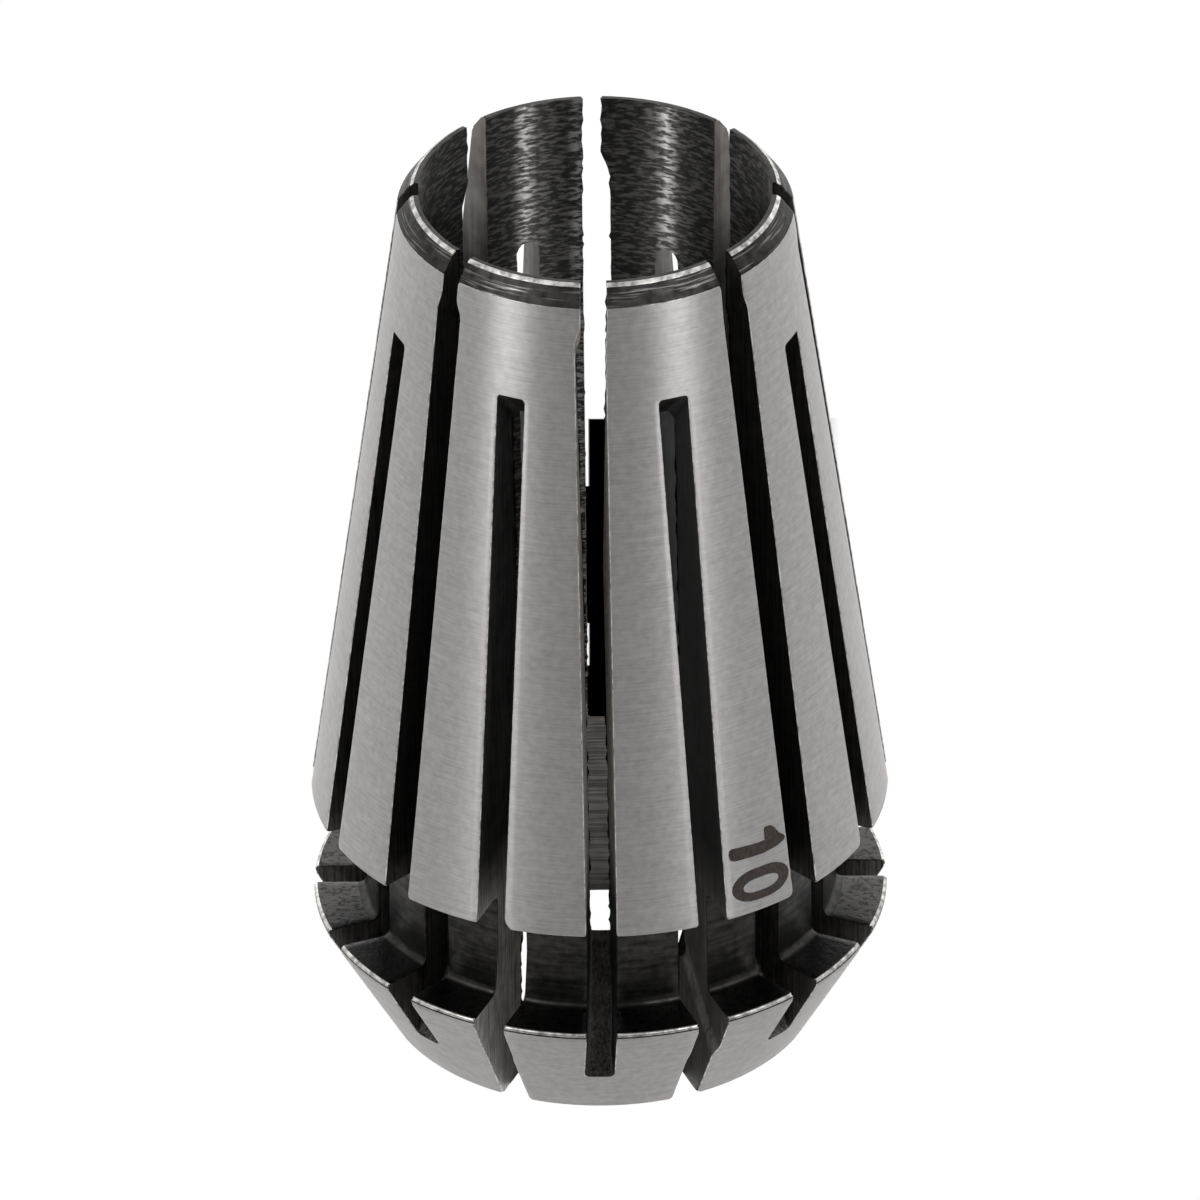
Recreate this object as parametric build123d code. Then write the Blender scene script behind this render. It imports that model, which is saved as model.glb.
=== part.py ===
"""A spring collet of the ER kind: a slotted steel sleeve that closes on a tool shank.

Units are millimetres.  The nose face lies on z = 0 and the axis is +Z, so the
collet stands on its nose with the small end of its taper uppermost.
"""

import os
from math import radians, sqrt, tan

from build123d import *

# Taper that the holder's socket squeezes
overall_length = 27.5
taper_big_diameter = 17.0
taper_half_angle = 8.0
shoulder_height = 7.35
shoulder_edge_radius = 0.12

# Nose that the clamping nut presses on
crest_diameter = 16.9
crest_land = 0.22
nose_half_angle = 30.0
nose_edge_radius = 0.16

# Groove that the nut's eccentric ring hooks into
groove_diameter = 13.8
groove_width = 3.5
groove_corner_radius = 0.25

# Bore that grips the shank, and the clearance behind it
bore_diameter = 10.0
bore_land_length = 6.2
bore_mouth_chamfer = 0.12
relief_diameter = 10.2
relief_run_out = 0.1

# Small end of the taper
rear_chamfer_height = 0.45
rear_face_width = 0.14

# Saw cuts: one set runs out through the rear end, the other through the nose
slots_per_set = 8
slot_width = 0.76
web_cut_width = 0.64
saw_radius = 12.5
rear_open_saw_reach = 4.0
rear_open_nose_web = 1.65
rear_open_bridge = 1.4
nose_open_saw_reach = 2.1
nose_open_rear_web = 3.55
nose_open_bridge = 2.2
web_cut_setback = 1.0
saw_clearance = 1.0

flank_height = shoulder_height - groove_width
crest_start_height = flank_height - crest_land
above_rear = overall_length + saw_radius + saw_clearance
below_nose = -saw_radius - saw_clearance


def taper_radius(height):
    """Radius of the clamping taper at a height above the nose face."""
    return taper_big_diameter / 2 - (height - shoulder_height) * tan(radians(taper_half_angle))


def nose_radius(height):
    """Radius of the nose cone at a height above the nose face."""
    return crest_diameter / 2 - (crest_start_height - height) * tan(radians(nose_half_angle))


def nearest_corner(section, point):
    """The corner of a flat section that lies at a given (radius, height)."""
    return section.vertices().sort_by_distance(Vector(*point))[0]


def sleeve():
    """The turned sleeve before it is sawn."""
    nose_edge = (nose_radius(0), 0)
    crest_start = (crest_diameter / 2, crest_start_height)
    crest_end = (crest_diameter / 2, flank_height)
    groove_floor_low = (groove_diameter / 2, flank_height)
    groove_floor_high = (groove_diameter / 2, shoulder_height)
    shoulder_edge = (taper_big_diameter / 2, shoulder_height)
    chamfer_start_height = overall_length - rear_chamfer_height

    outline = Polyline(
        (bore_diameter / 2 + bore_mouth_chamfer, 0),
        nose_edge,
        crest_start,
        crest_end,
        groove_floor_low,
        groove_floor_high,
        shoulder_edge,
        (taper_radius(chamfer_start_height), chamfer_start_height),
        (relief_diameter / 2 + rear_face_width, overall_length),
        (relief_diameter / 2, overall_length),
        (relief_diameter / 2, bore_land_length + relief_run_out),
        (bore_diameter / 2, bore_land_length),
        (bore_diameter / 2, bore_mouth_chamfer),
        close=True,
    )
    section = make_face(outline)
    roundings = (
        (nose_edge, nose_edge_radius),
        (groove_floor_low, groove_corner_radius),
        (groove_floor_high, groove_corner_radius),
        (shoulder_edge, shoulder_edge_radius),
    )
    for point, radius in roundings:
        section = fillet(nearest_corner(section, point), radius)
    return revolve(Plane.XZ * section, Axis.Z)


def rim_offset(reach, radius):
    """Axial distance from the saw's centre to its rim, at a radius from the axis."""
    return sqrt(saw_radius**2 - (reach + saw_radius - radius) ** 2)


def saw_sweep(first_centre, last_centre, reach, width):
    """Space swept by the saw as its centre runs along the axis between two heights."""
    track = SlotCenterToCenter(last_centre - first_centre, 2 * saw_radius, rotation=90)
    track = Pos(reach + saw_radius, (first_centre + last_centre) / 2) * track
    return extrude(Plane.XZ * track, amount=width / 2, both=True)


def rear_open_cut():
    """A slot closed at the nose: a main cut, then a narrower one through the rear bridge."""
    reach = rear_open_saw_reach
    bridge_height = overall_length - rear_open_bridge
    low_centre = rear_open_nose_web + rim_offset(reach, nose_radius(rear_open_nose_web))
    high_centre = bridge_height - rim_offset(reach, taper_radius(bridge_height))
    main_cut = saw_sweep(low_centre, above_rear, reach, slot_width)
    main_cut &= saw_sweep(below_nose, high_centre, reach, slot_width)
    web_cut = saw_sweep(low_centre + web_cut_setback, above_rear, reach, web_cut_width)
    return main_cut + web_cut


def nose_open_cut():
    """A slot closed at the rear: a main cut, then a narrower one through the nose bridge."""
    reach = nose_open_saw_reach
    web_height = overall_length - nose_open_rear_web
    low_centre = nose_open_bridge + rim_offset(reach, nose_radius(nose_open_bridge))
    high_centre = web_height - rim_offset(reach, taper_radius(web_height))
    main_cut = saw_sweep(low_centre, above_rear, reach, slot_width)
    main_cut &= saw_sweep(below_nose, high_centre, reach, slot_width)
    web_cut = saw_sweep(below_nose, high_centre - web_cut_setback, reach, web_cut_width)
    return main_cut + web_cut


def collet():
    """The finished collet: both sets of slots, each set between the slots of the other."""
    pitch = 360 / slots_per_set
    facing_front = -90
    body = sleeve()
    for index in range(slots_per_set):
        angle = facing_front + index * pitch
        body -= Rot(0, 0, angle) * rear_open_cut()
        body -= Rot(0, 0, angle + pitch / 2) * nose_open_cut()
    return body


os.makedirs("parts", exist_ok=True)
export_step(collet(), "parts/collet.step")
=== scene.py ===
"""A spring collet, dressed round its fixed frame.

The collet is one sleeve of hardened steel.  Its taper, its nose and the land of
its bore are ground bright, and what the wheel did not reach keeps the black scale
of the furnace.  Lengths are in millimetres until a mesh is made of them.
"""

import logging
import math
from dataclasses import dataclass, field, replace
from enum import Enum

import bmesh
import bpy
import numpy as np
from mathutils import Matrix, Vector

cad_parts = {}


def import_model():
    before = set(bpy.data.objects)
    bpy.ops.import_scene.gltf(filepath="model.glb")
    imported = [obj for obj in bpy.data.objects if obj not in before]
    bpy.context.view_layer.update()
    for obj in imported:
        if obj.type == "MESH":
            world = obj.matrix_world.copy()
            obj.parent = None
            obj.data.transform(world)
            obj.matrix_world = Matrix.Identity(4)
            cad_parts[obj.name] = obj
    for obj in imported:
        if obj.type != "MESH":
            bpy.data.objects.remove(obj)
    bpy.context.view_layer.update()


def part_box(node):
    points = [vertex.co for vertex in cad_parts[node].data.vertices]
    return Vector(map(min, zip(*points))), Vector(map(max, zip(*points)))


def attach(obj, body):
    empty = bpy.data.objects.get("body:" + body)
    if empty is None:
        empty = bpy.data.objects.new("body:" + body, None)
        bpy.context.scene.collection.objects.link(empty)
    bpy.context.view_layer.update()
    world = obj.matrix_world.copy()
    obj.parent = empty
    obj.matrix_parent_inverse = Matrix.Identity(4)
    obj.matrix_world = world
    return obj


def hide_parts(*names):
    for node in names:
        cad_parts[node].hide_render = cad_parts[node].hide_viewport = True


MM = 0.001
NODE = "collet"
MERGE_DISTANCE = 2e-7

Tree = bpy.types.NodeTree
Socket = bpy.types.NodeSocket

log = logging.getLogger("collet")


class Finish(Enum):
    """The finishes that the making of the sleeve leaves on it, some with painted light and painted shade.
    """

    GROUND = 0
    OXIDE = 1
    REAR = 2
    EDGE = 3
    BORE = 4
    RELIEF = 5
    SAWN = 6
    # sawn walls with painted light toward the nose
    SAWN_PAINTED_LIGHT = 7
    FLANK = 8
    BURR = 9
    GREY_SAWN = 10
    INNER_SAWN = 11
    REAR_SAWN = 12
    STREAKED_SAWN = 13


# The broken edges of the slots: which finish they have beside each finish of the skin.
STRIP_FINISHES = {
    Finish.GROUND: Finish.EDGE,
    Finish.BORE: Finish.BURR,
    Finish.RELIEF: Finish.BURR,
}


# --------------------------------------------------------------------------
# Outline of the turned sleeve
# --------------------------------------------------------------------------


@dataclass(frozen=True)
class Corner:
    """A corner of the outline, with the finish of its edge and of the face after it."""

    radius: float
    height: float
    rounding: float
    edge: Finish
    finish: Finish
    segment_rounding: float = 0.0


@dataclass(frozen=True)
class Station:
    """A point of the outline, and the finish of the stretch that follows it."""

    point: np.ndarray
    finish: Finish
    fixed: bool


def round_corner(before: Corner, corner: Corner, after: Corner, steps: int) -> list[np.ndarray]:
    """Replace a corner of the outline by an arc.

    Args:
        before: The corner before it along the outline.
        corner: The corner to round.
        after: The corner after it.
        steps: Straight pieces that make the arc.

    Returns:
        The arc's points, or the corner itself where it is sharp.
    """
    here = np.array([corner.radius, corner.height])
    if corner.rounding == 0:
        return [here]
    back = np.array([before.radius, before.height]) - here
    ahead = np.array([after.radius, after.height]) - here
    back /= np.linalg.norm(back)
    ahead /= np.linalg.norm(ahead)
    half_angle = math.acos(float(back @ ahead)) / 2
    middle = (back + ahead) / np.linalg.norm(back + ahead)
    centre = here + middle * corner.rounding / math.sin(half_angle)
    start = here + back * corner.rounding / math.tan(half_angle) - centre
    end = here + ahead * corner.rounding / math.tan(half_angle) - centre
    sweep = math.pi - 2 * half_angle
    return [
        centre + (start * math.sin(sweep * (1 - t)) + end * math.sin(sweep * t)) / math.sin(sweep)
        for t in np.linspace(0, 1, steps + 1)
    ]


def trace(corners: list[Corner], arc_steps: int, spacing: dict[Finish, float]) -> list[Station]:
    """Walk round the outline, round its corners and divide its long faces.

    Args:
        corners: The corners in order; the last joins the first.
        arc_steps: Straight pieces in each rounded corner.
        spacing: Longest stretch left undivided on each finish; ground stands for the rest.

    Returns:
        The outline's stations in order.
    """
    arcs = [
        round_corner(corners[i - 1], corner, corners[(i + 1) % len(corners)], arc_steps)
        for i, corner in enumerate(corners)
    ]
    stations = []
    for i, (corner, arc) in enumerate(zip(corners, arcs)):
        stations += [Station(point, corner.edge, True) for point in arc[:-1]]
        stations.append(Station(arc[-1], corner.finish, True))
        after = corners[(i + 1) % len(corners)]
        following = arcs[(i + 1) % len(corners)][0]
        length = float(np.linalg.norm(following - arc[-1]))
        stretch = spacing.get(corner.finish, spacing[Finish.GROUND])
        for t in divide(length, stretch, corner.segment_rounding, after.segment_rounding):
            point = arc[-1] * (1 - t) + following * t
            stations.append(Station(point, corner.finish, False))
    return stations


FINE_SPACING = 0.07  # between the rows beside a rounded corner of a segment
FINE_REACH = 2.5  # how far those rows go on, in roundings of that corner


def divide(length: float, spacing: float, first: float, last: float) -> list[float]:
    """Divide a straight face, more finely next to the rounded corners of the segments.

    Args:
        length: Length of the face.
        spacing: Longest stretch left undivided.
        first: Rounding of the segments' corners at its start.
        last: The same at its end.

    Returns:
        The places of the stations, as shares of the length.
    """
    places = []
    for rounding, from_start in ((first, True), (last, False)):
        reach = min(rounding * FINE_REACH, length / 2 - FINE_SPACING)
        steps = [FINE_SPACING * i for i in range(1, int(reach / FINE_SPACING) + 1)] if rounding > 0 else []
        places += [step if from_start else length - step for step in steps]
    start = max((p for p in places if p < length / 2), default=0.0)
    end = min((p for p in places if p >= length / 2), default=length)
    pieces = math.ceil((end - start) / spacing)
    places += [start + (end - start) * i / pieces for i in range(1, pieces)]
    return [place / length for place in sorted(places)]


# --------------------------------------------------------------------------
# Saw cuts
# --------------------------------------------------------------------------


@dataclass(frozen=True)
class SawArc:
    """An arc that the saw's rim leaves across the wall of the sleeve."""

    centre: tuple[float, float]
    upper_half: bool

    def crossing(self, points: np.ndarray, rim: float, bore_limit: float, in_bore: bool) -> float:
        """Find where a circle about the saw's centre cuts the outline.

        Args:
            points: The outline's stations, closed by repeating the first.
            rim: Radius of the circle.
            bore_limit: Radius that parts the bore from the outer surface.
            in_bore: True for the crossing in the bore, False for the one outside.

        Returns:
            The station number, and the share of the way to the next as its fraction.
        """
        gaps = np.linalg.norm(points - self.centre, axis=1) - rim
        for i in range(len(points) - 1):
            middle = (points[i] + points[i + 1]) / 2
            right_half = (middle[1] > self.centre[1]) == self.upper_half
            right_side = (middle[0] < bore_limit) == in_bore
            if right_half and right_side and gaps[i] * gaps[i + 1] < 0:
                return i + gaps[i] / (gaps[i] - gaps[i + 1])
        raise ValueError("the saw's arc does not cross the outline")

    def between(self, first: np.ndarray, last: np.ndarray, count: int) -> list[np.ndarray]:
        """Points inside the arc that joins two points.

        Args:
            first: The point that the arc starts from.
            last: The point that it ends at.
            count: Pieces that the arc is divided into.

        Returns:
            The points between, without the two ends.
        """
        spokes = [np.asarray(point) - self.centre for point in (first, last)]
        turns = [math.atan2(spoke[1], -spoke[0]) for spoke in spokes]
        rims = [float(np.linalg.norm(spoke)) for spoke in spokes]
        made = []
        for t in np.arange(1, count) / count:
            turn = turns[0] * (1 - t) + turns[1] * t
            rim = rims[0] * (1 - t) + rims[1] * t
            made.append(np.array([-math.cos(turn), math.sin(turn)]) * rim + self.centre)
        return made


@dataclass(frozen=True)
class SlotKind:
    """One of the two sets of slots: the arc that closes it and the one before its bridge."""

    closed_arc: SawArc
    bridge_arc: SawArc


NOSE_AND_REAR = (0.0, 27.5)


@dataclass(frozen=True)
class Cut:
    """Where one slot was really sawn, as offsets from its radial plane.

    ``centres`` and ``half_widths`` go with ``heights``.  The web values are those of the
    cut through the bridge, ``bore_insets`` is the burr on each wall in the bore, and
    ``end_lift`` raises the closed end there.
    """

    centres: tuple[float, ...]
    half_widths: tuple[float, ...] = ()
    web_centre: float = 0.0
    web_half_width: float = 0.34
    plain_half_width: float = 0.42
    bore_insets: tuple[float, float] = (0.0, 0.0)
    end_lift: float = 0.0
    heights: tuple[float, ...] = NOSE_AND_REAR

    def offset(self, height: float, across: float, inset: float, narrowed: float) -> float:
        """Sideways place of a point between the slot's walls.

        Args:
            height: Height above the nose.
            across: -1 on the lower wall, 1 on the upper wall.
            inset: How far a rounded corner draws the walls together.
            narrowed: 0 in the slot, 1 in the cut through its bridge.

        Returns:
            The offset from the radial plane.
        """
        centre = float(np.interp(height, self.heights, self.centres))
        half_width = self.plain_half_width
        if self.half_widths:
            half_width = float(np.interp(height, self.heights, self.half_widths))
        wide = centre + across * (half_width - inset)
        narrow = self.web_centre + across * self.web_half_width
        return wide * (1 - narrowed) + narrow * narrowed


@dataclass
class SlotRows:
    """How one set of slots divides the rows of the skin.

    ``order`` runs from the closed end outside to the closed end in the bore.  ``closed``
    and ``bridge`` are the rows on the two arcs, outside and in the bore.  The arrays say,
    for each row, how far the walls stand in, how much of the way they are to the cut
    through the bridge, and how wide their broken edge is.
    """

    order: list[int]
    closed: dict[bool, list[int]]
    bridge: dict[bool, list[int]]
    inset: np.ndarray
    narrowed: np.ndarray
    edge_break: np.ndarray


# --------------------------------------------------------------------------
# The sleeve
# --------------------------------------------------------------------------


def seal(mesh: bpy.types.Mesh) -> None:
    """Join the vertices that coincide, turn the faces outwards and log what stays open.

    Args:
        mesh: The mesh of a closed piece.
    """
    shape = bmesh.new()
    shape.from_mesh(mesh)
    bmesh.ops.remove_doubles(shape, verts=shape.verts, dist=MERGE_DISTANCE)
    bmesh.ops.recalc_face_normals(shape, faces=shape.faces)
    counts = len(shape.verts), len(shape.faces), sum(len(edge.link_faces) != 2 for edge in shape.edges)
    log.info("%s: %d vertices, %d faces, %d open edges", mesh.name, *counts)
    shape.to_mesh(mesh)
    shape.free()


@dataclass
class ColletBody:
    """The slotted sleeve: its sizes and its mesh."""

    # The turned outline
    taper_big_radius: float = 8.486
    taper_half_angle: float = math.radians(8)
    shoulder_height: float = 7.27
    shoulder_rounding: float = 0.08
    crest_radius: float = 8.45
    crest_land: float = 0.22
    crest_rounding: float = 0.09
    nose_half_angle: float = math.radians(29.4)
    nose_rounding: float = 0.05
    crest_lower_rounding: float = 0.3
    groove_radius: float = 6.9
    groove_width: float = 3.42
    groove_rounding: float = 0.25
    bore_radius: float = 5.0
    bore_mouth_chamfer: float = 0.12
    bore_land_length: float = 6.2
    relief_radius: float = 5.1
    relief_run_out: float = 0.1
    rear_chamfer_height: float = 0.58
    rear_face_width: float = 0.15
    rear_lip_width: float = 0.1
    rear_lip_drop: float = 0.08
    fine_rounding: float = 0.03

    # The saw cuts
    slots_per_set: int = 8
    saw_radius: float = 12.5
    saw_corner: float = 0.12
    saw_corners_in_bore: tuple[float, float] = (0.12, 0.3)
    end_blend: float = 4.0
    rear_open_reach: float = 4.0
    rear_open_nose_web: float = 1.65
    rear_open_bridge: float = 1.4
    rear_bridge_reach: float = 2.0
    nose_open_reach: float = 2.1
    nose_open_rear_web: float = 3.55
    nose_open_bridge: float = 2.2
    bridge_step_length: float = 0.5

    # Broken and burred edges, and what strayed from the pattern
    edge_break: float = 0.03
    burr_depth: float = 0.05
    burr_height: float = 0.06
    burr_spacing: float = 0.12
    burred_heights: tuple[float, float] = (18.0, 25.0)
    segment_corner: float = 0.15
    lean: float = 0.0125
    lean_height: float = 15.5
    worn_corners: dict[tuple[int, int], float] = field(default_factory=dict)
    measured_cuts: dict[int, Cut] = field(default_factory=dict)
    sawn_finishes: dict[int, Finish] = field(default_factory=dict)

    # Fineness of the mesh
    arc_steps: int = 4
    strip_steps: int = 3
    web_columns: int = 3
    skin_columns: int = 10
    arc_pieces: int = 12
    row_spacing: float = 0.5
    row_clearance: float = 0.25
    sharp_angle: float = math.radians(32)
    seed: int = 11

    def __post_init__(self) -> None:
        """Take the overall length from the frame, and lay out the slots' cuts."""
        low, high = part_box(NODE)
        self.length = (high.z - low.z) / MM
        self.flank_height = self.shoulder_height - self.groove_width
        self.crest_start = self.flank_height - self.crest_land
        self.bore_limit = self.relief_radius + self.rear_face_width / 2
        self.pitch = math.pi / self.slots_per_set
        self.slot_count = 2 * self.slots_per_set
        self.random = np.random.default_rng(self.seed)
        slots = range(self.slot_count)
        self.cuts = [self.measured_cuts.get(slot, self.leaned_cut(slot)) for slot in slots]
        self.vertices: list[tuple[float, float, float]] = []
        self.faces: list[list[int]] = []
        self.face_finishes: list[Finish] = []

    # ---- sizes ----------------------------------------------------------

    def leaned_cut(self, slot: int) -> Cut:
        """A slot that only follows the lean of the whole pattern."""
        slope = -self.lean * math.cos(slot * self.pitch)
        return Cut(tuple(slope * (height - self.lean_height) for height in NOSE_AND_REAR))

    def taper_radius(self, height: float) -> float:
        """Radius of the taper at a height."""
        return self.taper_big_radius - (height - self.shoulder_height) * math.tan(self.taper_half_angle)

    def nose_radius(self, height: float) -> float:
        """Radius of the nose cone at a height."""
        return self.crest_radius - (self.crest_start - height) * math.tan(self.nose_half_angle)

    def corners(self) -> list[Corner]:
        """List the outline's corners.

        Returns:
            The corners, from the bore's mouth outwards and round to it again.
        """
        chamfer_start = self.length - self.rear_chamfer_height
        plan = self.segment_corner
        fine = self.fine_rounding
        bore, relief, mouth = self.bore_radius, self.relief_radius, self.bore_mouth_chamfer
        ground, oxide, edge = Finish.GROUND, Finish.OXIDE, Finish.EDGE
        crest, groove, shoulder = self.crest_radius, self.groove_radius, self.taper_big_radius
        low, high = self.flank_height, self.shoulder_height
        rounding, upper = self.groove_rounding, self.taper_radius(chamfer_start)
        land_end = self.bore_land_length + self.relief_run_out
        lip = relief + self.rear_face_width + self.rear_lip_width
        return [
            Corner(bore + mouth, 0, 0, edge, ground),
            Corner(self.nose_radius(0), 0, self.nose_rounding, ground, ground, plan),
            Corner(crest, self.crest_start, self.crest_lower_rounding, ground, oxide, plan / 2),
            Corner(crest, low, self.crest_rounding, edge, Finish.FLANK, plan),
            Corner(groove, low, rounding, oxide, oxide),
            Corner(groove, high, rounding, oxide, oxide),
            Corner(shoulder, high, self.shoulder_rounding, ground, ground, plan),
            Corner(upper, chamfer_start, fine, edge, Finish.REAR, plan / 2),
            Corner(lip, self.length - self.rear_lip_drop, fine, edge, edge),
            Corner(lip - self.rear_lip_width, self.length, fine, edge, oxide),
            Corner(relief, self.length, 0, Finish.RELIEF, Finish.RELIEF),
            Corner(relief, land_end, 0, Finish.RELIEF, Finish.RELIEF),
            Corner(bore, self.bore_land_length, 0, Finish.BORE, Finish.BORE),
            Corner(bore, mouth, 0, edge, edge),
        ]

    def rim_drop(self, reach: float, radius: float) -> float:
        """Axial distance from the saw's centre to its rim, at a radius."""
        return math.sqrt(self.saw_radius**2 - (reach + self.saw_radius - radius) ** 2)

    def slot_kinds(self) -> list[SlotKind]:
        """Place the arcs that the saw leaves in each set of slots.

        Returns:
            The slots that run out at the rear, then those that run out at the nose.
        """
        nose_web, rear_bridge = self.rear_open_nose_web, self.length - self.rear_open_bridge
        rear_web, nose_bridge = self.length - self.nose_open_rear_web, self.nose_open_bridge
        reach, other = self.rear_open_reach, self.nose_open_reach
        nose_web_centre = nose_web + self.rim_drop(reach, self.nose_radius(nose_web))
        bridge_reach = self.rear_bridge_reach
        rear_bridge_centre = rear_bridge - self.rim_drop(bridge_reach, self.taper_radius(rear_bridge))
        rear_web_centre = rear_web - self.rim_drop(other, self.taper_radius(rear_web))
        nose_bridge_centre = nose_bridge + self.rim_drop(other, self.nose_radius(nose_bridge))
        middle, other_middle = reach + self.saw_radius, other + self.saw_radius
        return [
            SlotKind(
                SawArc((middle, nose_web_centre), False),
                SawArc((bridge_reach + self.saw_radius, rear_bridge_centre), True),
            ),
            SlotKind(
                SawArc((other_middle, rear_web_centre), True),
                SawArc((other_middle, nose_bridge_centre), False),
            ),
        ]

    # ---- rows of the skin -----------------------------------------------

    def lay_rows(self) -> None:
        """Place the rows of the skin, with one wherever a slot's arc meets it."""
        spacing = {
            Finish.GROUND: self.row_spacing,
            Finish.BORE: self.burr_spacing,
            Finish.RELIEF: 2 * self.burr_spacing,
        }
        stations = trace(self.corners(), self.arc_steps, spacing)
        closed = np.array([station.point for station in stations + stations[:1]])
        marks = self.arc_marks(closed)
        groups: dict[tuple, list[float]] = {}
        for place, label in marks:
            groups.setdefault(label[:3], []).append(place)
        clearance = self.row_clearance
        for i, station in enumerate(stations):
            crowded = any(min(g) - clearance < i < max(g) + clearance for g in groups.values())
            if station.fixed or not crowded:
                marks.append((float(i), ()))
        marks.sort(key=lambda mark: mark[0])
        self.row_labels = {label: row for row, (_, label) in enumerate(marks) if label}
        places = [place for place, _ in marks]
        shares = np.array(places) % 1
        bases = np.array(places).astype(int)
        self.points = closed[bases] * (1 - shares)[:, None] + closed[bases + 1] * shares[:, None]
        self.row_finishes = [stations[base].finish for base in bases]
        self.row_count = len(self.points)
        ahead = np.roll(self.points, -1, axis=0) - self.points
        ahead /= np.linalg.norm(ahead, axis=1)[:, None]
        outward = np.stack([ahead[:, 1], -ahead[:, 0]], axis=1)
        before = np.roll(outward, 1, axis=0)
        self.insets = -(outward + before) / (1 + (outward * before).sum(axis=1))[:, None]
        self.slot_rows = [self.divide_rows(0), self.divide_rows(1)]

    def arc_marks(self, closed: np.ndarray) -> list[tuple[float, tuple]]:
        """Find where the arcs of both sets of slots cross the outline.

        Args:
            closed: The outline's points, closed by repeating the first.

        Returns:
            The place of each crossing, and its set of slots, its arc, its side and its step.
        """
        marks: list[tuple[float, tuple]] = []
        for number, kind in enumerate(self.slot_kinds()):
            for in_bore in (False, True):
                corner = self.saw_corners_in_bore[number] if in_bore else self.saw_corner
                for step in range(self.arc_steps + 1):
                    turn = math.pi / 2 * step / self.arc_steps
                    rim = self.saw_radius - corner * (1 - math.cos(turn))
                    place = kind.closed_arc.crossing(closed, rim, self.bore_limit, in_bore)
                    marks.append((place, (number, "closed", in_bore, step)))
                    share = step / self.arc_steps
                    rim = self.saw_radius + self.bridge_step_length * (share - 0.5)
                    place = kind.bridge_arc.crossing(closed, rim, self.bore_limit, in_bore)
                    marks.append((place, (number, "bridge", in_bore, step)))
        return marks

    def divide_rows(self, number: int) -> SlotRows:
        """Find the rows that one set of slots cuts, and how wide it cuts them.

        Args:
            number: 0 for the slots open at the rear, 1 for those open at the nose.

        Returns:
            The rows in order from the closed end outside to the closed end in the bore.
        """
        steps = range(self.arc_steps + 1)
        ladder = {
            arc: {
                in_bore: [self.row_labels[(number, arc, in_bore, step)] for step in steps]
                for in_bore in (False, True)
            }
            for arc in ("closed", "bridge")
        }
        onward = 1 if number == 0 else -1
        order = [ladder["closed"][False][0]]
        while order[-1] != ladder["closed"][True][0]:
            order.append((order[-1] + onward) % self.row_count)
        place = {row: i for i, row in enumerate(order)}
        in_bore_rows = self.points[:, 0] < self.bore_limit
        inset = np.where(in_bore_rows, self.saw_corners_in_bore[number], self.saw_corner)
        narrowed = np.zeros(self.row_count)
        edge_break = np.zeros(self.row_count)
        web_start, web_end = (place[ladder["bridge"][in_bore][-1]] for in_bore in (False, True))
        for row in order:
            inset[row] = 0.0
            narrowed[row] = 1.0 if web_start <= place[row] <= web_end else 0.0
            edge_break[row] = self.burr_depth if in_bore_rows[row] else self.edge_break
        for in_bore in (False, True):
            corner = self.saw_corners_in_bore[number] if in_bore else self.saw_corner
            for step in steps:
                turn = math.pi / 2 * step / self.arc_steps
                row = ladder["closed"][in_bore][step]
                inset[row] = corner * (1 - math.sin(turn))
                edge_break[row] *= math.sin(turn)
                share = step / self.arc_steps
                narrowed[ladder["bridge"][in_bore][step]] = share * share * (3 - 2 * share)
        return SlotRows(order, ladder["closed"], ladder["bridge"], inset, narrowed, edge_break)

    # ---- vertices and faces ---------------------------------------------

    def add(self, slot: int, point: np.ndarray, offset: float) -> int:
        """Add a vertex, offset sideways from a slot's middle plane.

        Args:
            slot: The slot's number, counted from the front.
            point: Radius and height.
            offset: Distance from the slot's middle plane.

        Returns:
            The vertex's number.
        """
        angle = slot * self.pitch
        along = math.sqrt(max(point[0] ** 2 - offset**2, 0.0))
        x = along * math.sin(angle) + offset * math.cos(angle)
        y = offset * math.sin(angle) - along * math.cos(angle)
        self.vertices.append((x * MM, y * MM, point[1] * MM))
        return len(self.vertices) - 1

    def add_across(
        self, slot: int, row: int, point: np.ndarray, across: float, outward: float = 0.0
    ) -> int:
        """Add a vertex between the walls of a slot, as wide apart as they are at a row.

        Args:
            slot: The slot's number.
            row: The row of the skin that tells how wide the slot is.
            point: Radius and height.
            across: -1 on the lower wall, 1 on the upper wall.
            outward: Extra distance from the slot's middle.

        Returns:
            The vertex's number.
        """
        cut, rows = self.cuts[slot], self.slot_rows[slot % 2]
        if cut.end_lift and self.points[row, 0] < self.bore_limit:
            away = abs(point[1] - self.points[rows.closed[True][0], 1])
            point = point + np.array([0, cut.end_lift * max(0.0, 1 - away / self.end_blend)])
        offset = cut.offset(point[1], across, self.drawn_in(slot, row, across), rows.narrowed[row])
        return self.add(slot, point, offset + across * outward)

    def drawn_in(self, slot: int, row: int, across: float) -> float:
        """Say how far a slot's wall stands in, at its floor's corners and by its burr.

        Args:
            slot: The slot's number.
            row: The row of the skin.
            across: -1 on the lower wall, 1 on the upper wall.

        Returns:
            The distance.
        """
        inset = float(self.slot_rows[slot % 2].inset[row])
        if self.points[row, 0] < self.bore_limit:
            burr = float(np.interp(across, (-1, 1), self.cuts[slot].bore_insets))
            share = float(np.interp(self.points[row, 1], self.burred_heights, (1, 0)))
            inset = max(inset, burr * share)
        return inset

    def add_face(self, corners: list[int], finish: Finish) -> None:
        """Add a face with its finish."""
        self.faces.append(corners)
        self.face_finishes.append(finish)

    def add_strip(self, first: list[int], last: list[int], finish: Finish) -> None:
        """Join two rows of vertices by a strip of quads."""
        for i in range(len(first) - 1):
            self.add_face([first[i], first[i + 1], last[i + 1], last[i]], finish)

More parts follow.
